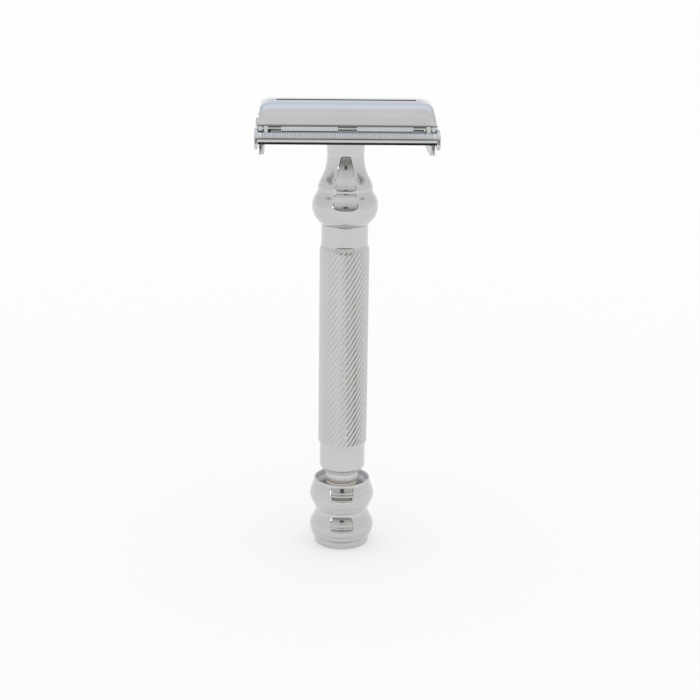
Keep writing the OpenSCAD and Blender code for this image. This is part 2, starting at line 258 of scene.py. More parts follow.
def turned(name, outline, columns=COLUMNS, twist=0.0, carve=None):
    """A turned piece: the outline in radius and height, carried round Z. An outline that starts and
    ends on the axis is closed there; any other is a ring. twist is in radians per millimetre, and
    carve(radius, height, share of a turn) gives the radius where it isn't round."""
    points = []
    faces = []
    rows = []
    for radius, height in outline:
        if radius < 1e-6:
            rows.append([len(points)] * columns)
            points.append((0, 0, height))
            continue
        rows.append(list(range(len(points), len(points) + columns)))
        for j in range(columns):
            share = j / columns
            angle = 2 * math.pi * share + twist * height
            r = carve(radius, height, share) if carve else radius
            points.append((r * math.cos(angle), r * math.sin(angle), height))
    pairs = list(zip(rows, rows[1:]))
    if outline[0][0] > 1e-6:
        pairs.append((rows[-1], rows[0]))
    for low, high in pairs:
        for j in range(columns):
            k = (j + 1) % columns
            corners = [low[j], low[k], high[k], high[j]]
            face = [c for i, c in enumerate(corners) if c not in corners[:i]]
            if len(face) > 2:
                faces.append(face)
    return new_piece(name, points, faces)


def drawn_out(name, section, places, shape=None):
    """A closed section in Y and Z, carried along X through the given places. shape(x, y, z) may move
    each point."""
    points = []
    faces = []
    count = len(section)
    for x in places:
        for y, z in section:
            points.append(shape(x, y, z) if shape else (x, y, z))
    for i in range(len(places) - 1):
        for j in range(count):
            k = (j + 1) % count
            faces.append([i * count + j, i * count + k, (i + 1) * count + k, (i + 1) * count + j])
    faces.append(list(range(count)))
    faces.append([(len(places) - 1) * count + j for j in range(count)])
    return new_piece(name, points, faces)


def block(low, high):
    """A box-shaped cutter or filler."""
    section = [(low[1], low[2]), (high[1], low[2]), (high[1], high[2]), (low[1], high[2])]
    return drawn_out("block", section, (low[0], high[0]))


def rod_along_x(radius, y, z, x0, x1, columns=32):
    return drawn_out("rod", arc((y, z), radius, 0, 360 - 360 / columns, columns - 1), (x0, x1))


def combine(piece, others, operation):
    """The piece with the others joined to it or cut from it, as one clean mesh."""
    for other in others:
        cut = piece.modifiers.new("cut", "BOOLEAN")
        cut.operation = operation
        cut.solver = "EXACT"
        cut.object = other
        settled = bpy.context.evaluated_depsgraph_get()
        mesh = bpy.data.meshes.new_from_object(piece.evaluated_get(settled))
        piece.modifiers.clear()
        piece.data = mesh
        bpy.data.objects.remove(other)
    shape = bmesh.new()
    shape.from_mesh(piece.data)
    bmesh.ops.remove_doubles(shape, verts=shape.verts, dist=0.002 * MM)
    bmesh.ops.dissolve_degenerate(shape, edges=shape.edges, dist=0.001 * MM)
    shape.to_mesh(piece.data)
    shape.free()
    return piece


def mirrored(piece, name, axis):
    """A copy of the piece on the other side of the middle."""
    copy = piece.copy()
    copy.data = piece.data.copy()
    copy.name = name
    scale = Vector((1, 1, 1))
    scale[axis] = -1
    copy.data.transform(Matrix.Diagonal(scale).to_4x4())
    copy.data.flip_normals()
    bpy.context.scene.collection.objects.link(copy)
    return copy


def round_edges(piece, width, angle=35, segments=2):
    """Rounds the sharp edges, so that they catch the light."""
    bevel = piece.modifiers.new("rounding", "BEVEL")
    bevel.limit_method = "ANGLE"
    bevel.angle_limit = math.radians(angle)
    bevel.width = width * MM
    bevel.segments = segments
    bevel.harden_normals = False


def shade(piece, angle=40):
    piece.data.shade_smooth()
    piece.data.set_sharp_from_angle(angle=math.radians(angle))


def finish_piece(piece, body, nodes, slot, *materials):
    """Shades the piece, gives it its materials, and puts it in its nodes' place on its body."""
    shade(piece)
    piece.data.materials.clear()
    for material in materials:
        piece.data.materials.append(material)
    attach(piece, body)
    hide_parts(*nodes)


# ---- materials ----

def add(tree, kind, inputs=(), **settings):
    """A new node. Each input is a value or the socket that feeds it."""
    made = tree.nodes.new(kind)
    for key, value in settings.items():
        setattr(made, key, value)
    for key, value in dict(inputs).items():
        if isinstance(value, bpy.types.NodeSocket):
            tree.links.new(value, made.inputs[key])
        else:
            made.inputs[key].default_value = value
    return made


def noise(tree, where, stretch, detail=3.0):
    """Noise over the piece's own coordinates; stretch is its frequency along X, Y and Z, per metre."""
    placed = add(tree, "ShaderNodeVectorMath", {0: where, 1: stretch}, operation="MULTIPLY")
    return add(tree, "ShaderNodeTexNoise", {"Vector": placed.outputs[0], "Scale": 1.0, "Detail": detail})


def spread(tree, value, low, high, start=0.3, end=0.7):
    return add(tree, "ShaderNodeMapRange", {
        "Value": value, "From Min": start, "From Max": end, "To Min": low, "To Max": high,
    }).outputs[0]


def mix_inputs(node):
    """The two colour sockets of a colour mix."""
    return [s for s in node.inputs if s.type == "RGBA"]


# The Mix node has sockets of the same name for each data type, so colours are set through this.
def colour_mix(tree, factor, first, second):
    made = add(tree, "ShaderNodeMix", {"Factor": factor}, data_type="RGBA")
    for socket, value in zip(mix_inputs(made), (first, second)):
        if isinstance(value, bpy.types.NodeSocket):
            tree.links.new(value, socket)
        else:
            socket.default_value = (*value, 1)
    return next(s for s in made.outputs if s.type == "RGBA")


def chrome_metal(name, tint, dull_tint, roughness, lines, line_depth, haze=90.0, metallic=1.0):
    material = bpy.data.materials.new(name)
    material.use_nodes = True
    tree = material.node_tree
    shader = tree.nodes["Principled BSDF"]
    where = add(tree, "ShaderNodeTexCoord").outputs["Object"]
    drift = noise(tree, where, (haze, haze, haze), 4.0).outputs["Fac"]
    working = noise(tree, where, lines, 2.0).outputs["Fac"]
    mixed = add(tree, "ShaderNodeMath", {0: drift, 1: working}, operation="ADD").outputs[0]
    colour = colour_mix(tree, spread(tree, drift, 0, 1), tint, dull_tint)
    tree.links.new(colour, shader.inputs["Base Color"])
    tree.links.new(spread(tree, mixed, *roughness, 0.75, 1.25), shader.inputs["Roughness"])
    bump = add(tree, "ShaderNodeBump", {"Height": working, "Strength": 1.0, "Distance": line_depth})
    tree.links.new(bump.outputs[0], shader.inputs["Normal"])
    shader.inputs["Metallic"].default_value = metallic
    return material


ROUND_Z = (150, 150, 9000)
ALONG_X = (120, 7000, 7000)

polished = chrome_metal(
    "polished_chrome", (0.60, 0.605, 0.61), (0.56, 0.565, 0.57), (0.02, 0.06), (2500, 2500, 2500), 2e-7)
turned_chrome = chrome_metal(
    "turned_chrome", (0.60, 0.605, 0.605), (0.56, 0.565, 0.565), (0.04, 0.09), ROUND_Z, 3e-7)
satin = chrome_metal(
    "satin_chrome", (0.60, 0.60, 0.595), (0.575, 0.58, 0.575), (0.10, 0.14), ROUND_Z, 1e-7,
    haze=60)
# Plating inside the knob's cup, light and half diffuse: painted light in the deep cup, which would
# otherwise stay dark
cup_plating_painted_light = chrome_metal(
    "cup_plating_painted_light", (0.85, 0.84, 0.88), (0.74, 0.73, 0.77), (0.32, 0.42), ROUND_Z, 6e-7,
    metallic=0.35)
# Faces that are plated but never polished: the head's underside and the nose of the barrel. Its light,
# half-diffuse colour is partly painted light, making these shaded faces lighter
rough_plating_painted_light = chrome_metal(
    "unpolished_chrome_painted_light", (0.88, 0.88, 0.87), (0.78, 0.78, 0.77), (0.42, 0.55), (900, 900, 900), 1e-6,
    metallic=0.4)
# Brass made half diffuse so that it shows lighter: painted light on the bush deep in the knob's cup
brass_painted_light = chrome_metal(
    "turned_brass", (0.78, 0.73, 0.65), (0.60, 0.57, 0.52), (0.12, 0.25), ROUND_Z, 8e-7,
    metallic=0.55)
steel = chrome_metal(
    "turned_steel", (0.42, 0.42, 0.43), (0.34, 0.34, 0.35), (0.15, 0.3), ROUND_Z, 1e-6)
blade_steel = chrome_metal(
    "ground_steel", (0.50, 0.51, 0.53), (0.43, 0.44, 0.46), (0.14, 0.28), ALONG_X, 6e-7)
honed_steel = chrome_metal(
    "honed_edge", (0.66, 0.67, 0.69), (0.60, 0.61, 0.63), (0.2, 0.3), (9000, 900, 900), 8e-7)
# Near-black chrome for the recess under the front of each guard bar: painted shade of the seam's gap
seam_painted_shade = chrome_metal(
    "painted_shade_seam", (0.05, 0.05, 0.048), (0.02, 0.02, 0.02), (0.35, 0.6), (900, 4000, 4000), 2e-6)


# ---- handle ----

def flute(radius, height, share):
    """Radius of the barrel's surface: spiral flutes cut into the grip, running out on its chamfers."""
    if not GRIP_Z0 - 1.001 <= height <= GRIP_Z1 + 1.001 or radius < BARREL_R - 0.01:
        return radius
    phase = share * FLUTES % 1
    across = abs(phase - 0.5) * 2
    return min(radius, GRIP_R - FLUTE_DEPTH * smoothstep(0.5, 0.98, across))


def barrel():
    end_curve = smooth_curve([
        (NOSE_R, NOSE_Z + 1.5), (NOSE_R + 0.45, NOSE_Z + 1.95), (BARREL_R - 0.5, NOSE_Z + 2.7),
        (BARREL_R - 0.14, NOSE_Z + 3.25), (BARREL_R, NOSE_Z + 3.8),
    ], 8)
    rows = 64
    chamfer = [(BARREL_R + (GRIP_R - BARREL_R) * k / 8, GRIP_Z0 - 1 + k / 8) for k in range(9)]
    grip = [(GRIP_R, GRIP_Z0 + (GRIP_Z1 - GRIP_Z0) * k / rows) for k in range(1, rows)]
    top = [(r, GRIP_Z0 + GRIP_Z1 - z) for r, z in reversed(chamfer)]
    lower = soften([(BUSH_SEAT_R, NOSE_Z), (NOSE_R, NOSE_Z), end_curve[0]], 0.15, closed=False)
    upper = soften([
        (BARREL_R, COLLAR_Z - 0.4), (BARREL_R, COLLAR_Z), (SPIGOT_R, COLLAR_Z), (SPIGOT_R, SPIGOT_Z),
        (BORE_R, SPIGOT_Z), (BORE_R, bush_high.z), (BUSH_SEAT_R, bush_high.z), (BUSH_SEAT_R, NOSE_Z + 1),
    ], 0.12, closed=False)
    low_band = resampled([end_curve[-1], chamfer[0]], 0.4)[1:-1]
    top_band = resampled([top[-1], upper[0]], 0.4)[1:-1]
    outline = lower[:-1] + end_curve + low_band + chamfer + grip + top + top_band + upper
    made = turned("fluted_barrel", outline, FLUTES * 12, 2 * math.pi / FLUTE_LEAD, flute)
    finish_piece(made, "handle", ["handle_barrel"], "satin_chrome", satin, rough_plating_painted_light)
    # The nose takes the light unpolished plating: partly painted light
    for face in made.data.polygons:
        if face.center.z < (NOSE_Z + 3) * MM:
            face.material_index = 1


def collar():
    bulb = arc((BULB_R - BULB_ARC, BULB_Z), BULB_ARC, -53, 37, 28)
    neck = smooth_curve([
        (7.0, BULB_Z + 4.3), (6.98, BULB_Z + 5.2), (6.56, BULB_Z + 6.45), (5.6, BULB_Z + 8.4),
        (4.98, BULB_Z + 10.5), (NECK_R, BULB_Z + 13.2), (NECK_R + 0.13, BULB_Z + 15.15),
        (NECK_R + 0.16, FLANGE_Z),
    ], 8)
    outline = (
        [(0, SPIGOT_Z), (SPIGOT_R - 0.02, SPIGOT_Z), (SPIGOT_R - 0.02, COLLAR_Z), (BARREL_R, COLLAR_Z)]
        + bulb + neck + [(FLANGE_R, FLANGE_Z), (FLANGE_R, WEB_Z), (0, WEB_Z)]
    )
    made = turned("polished_neck", outline)
    bore = turned("bore", [(0, SPIGOT_Z - 1), (ROD_R + RUN_GAP, SPIGOT_Z - 1),
                           (ROD_R + RUN_GAP, SHOULDER_Z), (SHOULDER_R, SHOULDER_Z),
                           (SHOULDER_R, WEB_Z + 1), (0, WEB_Z + 1)], 64)
    slot = block((-8, -SLOT_Y, SLOT_Z), (8, SLOT_Y, WEB_Z + 1))
    combine(made, [bore, slot], "DIFFERENCE")
    finish_piece(made, "handle", ["neck_collar"], "chrome_plate", polished)


def bush():
    bore = THREAD_R + RUN_GAP
    low, top = bush_low.z, bush_high.z
    outline = soften([
        (bore, low), (BUSH_R - 0.3, low), (BUSH_R, low + 0.3), (BUSH_R, NOSE_Z - 1.2),
        (BUSH_R - 0.14, NOSE_Z - 1.05), (BUSH_R - 0.14, NOSE_Z - 0.75), (BUSH_R, NOSE_Z - 0.6),
        (BUSH_R, NOSE_Z), (BUSH_SEAT_R, NOSE_Z), (BUSH_SEAT_R, top), (bore, top),
    ], 0.08)
    made = turned("nose_bush", outline)
    # The bush's brass is lightened: painted light in the cup
    finish_piece(made, "handle", ["thread_bush"], "turned_brass", brass_painted_light)


# ---- knob ----

def grooved(wall, grooves):
    """The wall with fine turned grooves; each groove is its height, half width and depth."""
    out = []
    for r, z in wall:
        cut = sum(deep * math.exp(-((z - at) / wide) ** 2) for at, wide, deep in grooves)
        out.append((r - cut, z))
    return out


def knob():
    wall = smooth_curve([
        (FOOT_R + 0.05, CAP_T), (FOOT_R + 0.65, CAP_T + 0.6), (BULGE_R - 0.2, CAP_T + 1.8), (BULGE_R, 5.1),
        (BULGE_R - 0.3, 6.35), (WAIST_R + 0.4, 8.1), (WAIST_R, 9.5), (WAIST_R + 0.38, 10.55),
        (BULGE_R - 0.42, 12.2), (BULGE_R, 13.8), (BULGE_R - 0.2, 15), (RIM_R + 0.45, 16.45),
        (RIM_R, RIM_Z - 0.7),
    ], 10)
    grooves = [
        (16.22, 0.1, 0.06), (15.48, 0.08, 0.06), (14.22, 0.08, 0.05), (13.03, 0.08, 0.06),
        (11.34, 0.08, 0.07), (7.22, 0.1, 0.06), (6.35, 0.1, 0.06), (5.5, 0.08, 0.06), (3.8, 0.08, 0.07),
    ]
    wall = grooved(resampled(wall, 0.07), grooves)
    inner = soften([
        wall[-1], (RIM_R, RIM_Z), (RIM_R - RIM_WALL, RIM_Z), (RIM_R - RIM_WALL, RIM_Z - 1.4),
        (CUP_R, RIM_Z - 2.6), (CUP_R, CUP_Z), (ROD_R, CUP_Z), (ROD_R, KNOB_WEB_Z), (HEAD_R, KNOB_WEB_Z),
        (HEAD_R, SOCKET_Z), (SOCKET_R, SOCKET_Z), (SOCKET_R, CAP_T), wall[0],
    ], 0.12, closed=False)
    made = turned("turning_knob", wall + inner[1:-1])
    finish_piece(made, "knob", ["knob_shell"], "chrome_plate", turned_chrome, cup_plating_painted_light)
    # The faces inside the cup take the lighter plating: painted light
    for face in made.data.polygons:
        centre = face.center / MM
        inwards = face.normal.x * centre.x + face.normal.y * centre.y < 0 or face.normal.z > 0.9
        if inwards and centre.z > CUP_Z - 0.1 and math.hypot(centre.x, centre.y) < RIM_R - RIM_WALL + 0.02:
            face.material_index = 1


def foot_cap():
    spigot_z = cap_high.z
    outline = soften([
        (0, 0), (FOOT_R - 0.35, 0), (FOOT_R, 0.35), (FOOT_R, CAP_T - 0.12), (FOOT_R - 0.12, CAP_T),
        (SOCKET_R, CAP_T), (SOCKET_R, spigot_z), (0, spigot_z),
    ], 0.12, closed=False)
    made = turned("foot_cap", outline)
    finish_piece(made, "knob", ["knob_end_cap"], "chrome_plate", turned_chrome)


def rod():
    def thread(radius, height, share):
        if radius < THREAD_R - 0.001:
            return radius
        phase = (height / THREAD_LEAD + share) * 2 % 1
        inside = smoothstep(THREAD_Z[0], THREAD_Z[0] + 0.8, height)
        inside *= 1 - smoothstep(THREAD_Z[1] - 0.8, THREAD_Z[1], height)
        return radius - THREAD_DEPTH * abs(2 * phase - 1) * inside

    low, top = rod_low.z, rod_high.z
    count = int((THREAD_Z[1] - THREAD_Z[0]) / THREAD_STEP)
    turns = [(THREAD_R, THREAD_Z[0] + THREAD_STEP * k) for k in range(count + 1)]
    outline = [
        (0, low), (ROD_R, low), (ROD_R, THREAD_Z[0]), *turns, (ROD_R, THREAD_Z[1] + 0.05),
        (ROD_R, TIP_Z), (TIP_R, TIP_Z), (TIP_R, top - 0.15), (TIP_R - 0.15, top), (0, top),
    ]
    made = turned("threaded_rod", outline, 64, 0.0, thread)
    finish_piece(made, "knob", ["drive_rod"], "plain_steel", steel)


# ---- head ----

def bar_section():
    """One guard bar's section: a slope on top, a rounded front with a ledge, and a recess under it."""
    front = HEAD_Y
    return [
        (BAR_Y0, WEB_Z + 0.05), (front - 0.56, WEB_Z + 0.05), (front - 0.54, SEAM_TOP - 0.05),
        (front - 0.14, SEAM_TOP), (front - 0.05, 110.6), (front, 110.94), (front, 111.04),
        (front - 0.07, 111.1), (front - 0.08, 111.36), (front - 0.16, 111.66), (front - 0.3, 111.86),
        (front - 0.48, 112.0), (front - 0.8, 112.2),
        (front - 1.15, 112.41), (front - 1.45, 112.58), (BAR_Y0 + 0.12, 112.6), (BAR_Y0, 112.5),
    ]


def rib(x, y, z):
    """Cuts the fine ribs into the slope on top of the guard bar."""
    if abs(x) > RIBBED_X or z < 111.85 or y < BAR_Y0 + 0.2:
        return x, y, z
    phase = abs((x / RIB_PITCH) % 1 - 0.5) * 2
    deep = RIB_DEPTH * smoothstep(0.4, 0.9, phase)
    return x, y - deep * 0.5, z - deep


def guard():
    steps = 8
    count = int(2 * BAR_X / RIB_PITCH * steps)
    places = [-BAR_X + 2 * BAR_X * k / count for k in range(count + 1)]
    rear_bar = drawn_out("ribbed_guard", bar_section(), places, rib)
    front_bar = mirrored(rear_bar, "front_bar", 1)
    web_section = soften([
        (-BAR_Y0 - 0.4, WEB_Z + 0.2), (-BAR_Y0 - 0.4, WEB_Z + 1), (-10.3, WEB_Z + 1), (-10.3, 112.65),
        (-8.7, 113.0), (-8.7, WEB_Z + 1), (-3.2, WEB_Z + 1), (-3.2, SEAT_Z - 0.35), (-2.85, SEAT_Z - 0.12),
        (-1.2, SEAT_Z), (1.2, SEAT_Z), (2.85, SEAT_Z - 0.12), (3.2, SEAT_Z - 0.35), (3.2, WEB_Z + 1),
        (8.7, WEB_Z + 1), (8.7, 113.0), (10.3, 112.65), (10.3, WEB_Z + 1), (BAR_Y0 + 0.4, WEB_Z + 1),
        (BAR_Y0 + 0.4, WEB_Z + 0.2), (BAR_Y0 - 0.4, WEB_Z), (2.35, WEB_Z), (2.35, SEAT_Z - 0.7),
        (-2.35, SEAT_Z - 0.7), (-2.35, WEB_Z), (-BAR_Y0 + 0.4, WEB_Z),
    ], 0.08)
    web = drawn_out("web", web_section, (-WEB_X, WEB_X))
    aprons = [block((-APRON_X, a, WEB_Z + 0.01), (APRON_X, a + 8, WEB_Z + 0.99)) for a in (-11.3, 3.3)]
    ridges = [
        block((middle - RIDGE_L / 2, -0.5, SEAT_Z - 0.2), (middle + RIDGE_L / 2, 0.5, SEAT_Z + 0.7))
        for middle in (-RIDGE_X, RIDGE_X)
    ]
    made = combine(rear_bar, [front_bar, web, *aprons, *ridges], "UNION")
    hole = turned("hole", [(0, WEB_Z - 1), (2.3, WEB_Z - 1), (2.3, SEAT_Z + 2), (0, SEAT_Z + 2)], 64)
    combine(made, [hole], "DIFFERENCE")
    finish_piece(made, "handle", ["guard_plate"], "chrome_plate", polished, seam_painted_shade, rough_plating_painted_light)
    for face in made.data.polygons:
        centre = face.center / MM
        # The recess under each bar's front takes the near-black material: painted shade
        if WEB_Z + 0.06 < centre.z < SEAM_TOP - 0.01 and HEAD_Y - 0.6 < abs(centre.y) < HEAD_Y - 0.1:
            face.material_index = 1
        # Faces that look down take the light unpolished plating: partly painted light in their shade
        elif face.normal.z < -0.9 and centre.z < SEAM_TOP:
            face.material_index = 2


def dull_inside(piece):
    """Gives the faces that look inwards or downwards, under the head, their unpolished finish, whose light
    colour is partly painted light in their shade.
    """
    for face in piece.data.polygons:
        inwards = -face.normal.x * math.copysign(1, face.center.x)
        if inwards > 0.9 or face.normal.z < -0.9:
            face.material_index = 1


def end_plates():
    lobe = arc((HEAD_Y - LOBE_R, 109.95), LOBE_R, 0, -115, 16)
    half = [
        (HORN_Y - 0.8, PLATE_Z - 0.9), (HORN_Y, PLATE_Z), (9.6, PLATE_Z), (10.4, PLATE_Z - 0.15),
        (HEAD_Y - 0.6, PLATE_Z - 1), (HEAD_Y - 0.1, PLATE_Z - 1.6), (HEAD_Y, PLATE_Z - 2.3),
        *lobe, (9.2, CRADLE_Z),
    ]
    outline = half + [(-y, z) for y, z in reversed(half)]
    right = drawn_out("end_plate_right", outline, (plate_low.x, plate_high.x))
    round_edges(right, 0.16, 30, 3)
    left = mirrored(right, "end_plate_left", 0)
    finish_piece(right, "handle", ["right_end_plate"], "chrome_plate", polished, rough_plating_painted_light)
    finish_piece(left, "handle", ["left_end_plate"], "chrome_plate", polished, rough_plating_painted_light)
    dull_inside(right)
    dull_inside(left)


def cheeks():
    """The yoke's end cheeks, each a cradle with an arm up to both door pivots."""
    ear = cheek_high.y - PIVOT_Y
    arm_y = PIVOT_Y - ear
    low, inner_z, corner = cheek_low.z, CRADLE_Z, 1.6
    right_side = arc((PIVOT_Y, PIVOT_Z), ear, 0, 180, 14)
    outline = (
        arc((-PIVOT_Y - ear + corner, low + corner), corner, 180, 270, 8)
        + arc((PIVOT_Y + ear - corner, low + corner), corner, 270, 360, 8)
        + right_side
        + [(arm_y, inner_z + 0.8), (arm_y - 1.2, inner_z), (1.2 - arm_y, inner_z), (-arm_y, inner_z + 0.8)]
        + [(-y, z) for y, z in reversed(right_side)]
    )
    right = drawn_out("cheek_right", outline, (CHEEK_X, cheek_high.x))
    cradle = drawn_out("cradle", outline, (CRADLE_X, cheek_high.x - 0.01))
    above = block((CRADLE_X - 1, -HEAD_Y, CRADLE_Z), (cheek_high.x + 1, HEAD_Y, CREST_Z))
    combine(cradle, [above], "DIFFERENCE")
    combine(right, [cradle], "UNION")
    holes = [rod_along_x(PIN_R, s * PIVOT_Y, PIVOT_Z, CHEEK_X - 1, cheek_high.x + 1) for s in (-1, 1)]
    combine(right, holes, "DIFFERENCE")
    round_edges(right, 0.12, 40, 3)
    left = mirrored(right, "cheek_left", 0)
    finish_piece(right, "yoke", ["right_cheek"], "chrome_plate", polished, rough_plating_painted_light)
    finish_piece(left, "yoke", ["left_cheek"], "chrome_plate", polished, rough_plating_painted_light)
    dull_inside(right)
    dull_inside(left)


def blade():
    """The blade: a bent strip with end tabs, a long slot with round ends and honed edges."""
    bend_z = SEAT_Z + 0.05 - BEND_R
    thick = 0.1
    half_turn = BLADE_HALF / (BEND_R + thick / 2)
    hone = HONED / BEND_R

    def strip(name, half, x, honed):
        inner = []
        outer = []
        angles = [half * (k / 16 - 1) for k in range(33)]
        if honed:
            angles = sorted(angles + [-half + hone, half - hone])
        for a in angles:
            edge = min(1.0, (half - abs(a)) / hone) if honed else 1.0
            rim = thick / 2 * max(edge, 0.06)
            middle = BEND_R + thick / 2
            inner.append(((middle - rim) * math.sin(a), bend_z + (middle - rim) * math.cos(a)))
            outer.append(((middle + rim) * math.sin(a), bend_z + (middle + rim) * math.cos(a)))
        return drawn_out(name, inner + outer[::-1], (-x, x))

    tab_half = 6.7 / (BEND_R + thick / 2)
    made = strip("honed_blade", half_turn, 18.7, True)
    combine(made, [strip("tabs", tab_half, blade_high.x, False)], "UNION")

    def peg(x, radius):
        outline = [(0, SEAT_Z - 3), (radius, SEAT_Z - 3), (radius, SEAT_Z + 3), (0, SEAT_Z + 3)]
        cutter = turned("peg", outline, 48)
        cutter.data.transform(Matrix.Translation((x * MM, 0, 0)))
        return cutter

    cutters = [block((-17.6, -0.65, SEAT_Z - 3), (17.6, 0.65, SEAT_Z + 3)), peg(0, 2.5)]
    cutters += [peg(s * x, r) for s in (-1, 1) for x, r in ((17.0, 1.3), (10.4, 1.7))]
    combine(made, cutters, "DIFFERENCE")
    finish_piece(made, "handle", ["razor_blade"], "blade_steel", blade_steel, honed_steel)
    for face in made.data.polygons:
        if abs(face.center.y) > (BLADE_HALF - HONED - 0.15) * MM:
            face.material_index = 1
    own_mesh(made)


# Doors
CORNER_X = 3.2
CORNER_Z = 1.7
FLARE_Z = 114.3
NOTCH_Y = 9.4
NOTCH_Z = 114.2
NOTCHES = ((-2.35, 2.35), (16.2, 20.8), (-20.8, -16.2))
MEET_Y = 0.12
SEAM_X = 17.5
SEAM_Y = 0.9
# Half length of a door at heights from the lip up: the ends flare out over the end plates
REACH = (
    (LIP_Z, DOOR_X), (PLATE_Z + 0.25, DOOR_X), (PLATE_Z + 0.35, FLARE_X), (FLARE_Z, FLARE_X),
    (FLARE_Z + 1.3, DOOR_X), (CREST_Z, DOOR_X),
)


ARM_R = 0.85
# Points of the sheet below its straight wall, down to the lip
LIP_POINTS = 10


def door_section():
    """Outer and inner points of the front door's sheet, in pairs from the crest to the lip."""
    outer = smooth_curve([
        (-MEET_Y, CREST_Z), (-2.6, CREST_Z - 0.03), (-4.9, CREST_Z - 0.16), (-6.9, CREST_Z - 0.95),
        (-8.4, CREST_Z - 2.35), (-9.35, CREST_Z - 4.1), (-9.66, 114.35),
    ], 7)
    inner = beside(outer, DOOR_T)
    outer += [
        (-9.69, 114.26), (-9.7, 114.1), (-9.71, 113.95), (-9.72, 113.8), (-9.84, 113.68),
        (-10.06, 113.5), (-10.32, 113.26), (-10.5, 113.06), (-10.55, 112.94), (-10.52, LIP_Z),
    ]
    inner += [
        (-8.82, 114.18), (-8.84, 114.08), (-8.88, 113.95), (-8.92, 113.8), (-8.98, 113.68),
        (-9.1, 113.5), (-9.3, 113.34), (-9.54, 113.2), (-9.76, 113.08), (-9.96, 112.96),
    ]
    return outer, inner


def reach(z):
    """Half length of a door at this height."""
    for (z0, x0), (z1, x1) in zip(REACH, REACH[1:]):
        if z <= z1:
            return x0 + (x1 - x0) * max(0, z - z0) / (z1 - z0)
    return REACH[-1][1]


def door_point(x, y, z):
    """A point of the sheet with the flare of the door's ends and the rounding of its top corners."""
    past = max(0, abs(x) - (DOOR_X - CORNER_X)) / CORNER_X
    flare = (reach(z) - DOOR_X) * smoothstep(0.3, 1, past)
    drop = CORNER_Z * (1 - math.sqrt(max(0, 1 - past * past)))
    return x + flare * math.copysign(1, x), y, z - drop * smoothstep(113.8, 117.6, z)


def door_sheet():
    outer, inner = door_section()
    middle = DOOR_X - CORNER_X
    count = round(2 * middle / 0.7)
    places = [middle * (2 * k / count - 1) for k in range(count + 1)]
    ends = [middle + CORNER_X * math.sin(math.pi / 2 * k / 14) for k in range(1, 15)]
    places = [-x for x in reversed(ends)] + places + ends
    return drawn_out("door_front", outer + inner[::-1], places, door_point)


def notch(x0, x1):
    """A cutter for one notch right through the lip, with a back wall that leans a little outwards."""
    section = [
        (-HEAD_Y, LIP_Z - 1), (-HEAD_Y, NOTCH_Z), (-NOTCH_Y, NOTCH_Z), (-NOTCH_Y - 0.02, NOTCH_Z - 0.5),
        (-NOTCH_Y - 0.1, NOTCH_Z - 0.8), (-NOTCH_Y - 0.2, NOTCH_Z - 1.1), (-NOTCH_Y - 0.25, LIP_Z - 1),
    ]
    return drawn_out("notch", section, (x0, x1))


def doors():
    front = door_sheet()
    outer, _ = door_section()
    wall = beside(outer[:-LIP_POINTS], 0.25)
    flange = wall + [(-10.0, 113.42), (-8.9, 113.42), (-7.6, 114.9), (-0.4, 114.9)]
    parts = []
    for side in (-1, 1):
        ends = sorted((side * 20.9, side * (DOOR_X - 0.02)))
        places = [ends[0] + (ends[1] - ends[0]) * k / 4 for k in range(5)]
        parts.append(drawn_out("flange", flange, places, door_point))
        arm = [
            (-PIVOT_Y - ARM_R, PIVOT_Z), (-PIVOT_Y - 0.6, 113.0), (-9.6, 114.0), (-8.9, 115.2),
            (-8.0, 115.2), (-8.3, 113.6), (-PIVOT_Y + ARM_R, PIVOT_Z),
            *arc((-PIVOT_Y, PIVOT_Z), ARM_R, 0, -180, 12)[1:-1],
        ]
        parts.append(drawn_out("arm", arm, sorted((side * 19.5, side * 20.45))))
    combine(front, [notch(*span) for span in NOTCHES], "DIFFERENCE")
    combine(front, parts, "UNION")
    pins = [rod_along_x(PIN_R + RUN_GAP, -PIVOT_Y, PIVOT_Z, *sorted((s * 19, s * 21))) for s in (-1, 1)]
    combine(front, pins, "DIFFERENCE")
    round_edges(front, 0.1, 50, 2)
    combine(front, [block((-SEAM_X, -SEAM_Y, 114.9), (SEAM_X, 1, CREST_Z + 1))], "DIFFERENCE")
    rear = mirrored(front, "door_rear", 1)
    finish_piece(front, "front_door", ["front_door"], "chrome_plate", polished)
    finish_piece(rear, "rear_door", ["rear_door"], "chrome_plate", polished)


def plain_nodes():
    """The nodes whose own shape is right: they get rounded edges and a material."""
    looks = {
        "guard_rivets": steel, "yoke_bar": polished, "front_pivot_pins": steel,
        "rear_pivot_pins": steel, "thrust_collar": brass_painted_light, "thrust_washer": brass_painted_light,
        "rod_nut": steel, "knob_lock_screw": steel,
    }
    for name, material in looks.items():
        node = frame["nodes"][name]
        weld = node.modifiers.new("weld", "WELD")
        weld.merge_threshold = 0.002 * MM
        round_edges(node, 0.05, 50, 2)
        node.data.materials.clear()
        node.data.materials.append(material)


# ---- studio ----

def emitter(tree):
    """The emission of a material that has nothing else."""
    tree.nodes.clear()
    out = add(tree, "ShaderNodeOutputMaterial")
    light = add(tree, "ShaderNodeEmission")
    tree.links.new(light.outputs[0], out.inputs["Surface"])
    return light


def ramp(tree, value, stops):
    """A colour that follows the value through the stops, each a place and a colour."""
    made = add(tree, "ShaderNodeValToRGB", {"Fac": value})
    keys = made.color_ramp.elements
    while len(keys) < len(stops):
        keys.new(0.5)
    for key, (place, colour) in zip(keys, stops):
        key.position = place
        key.color = (*colour, 1)
    return made.outputs["Color"]


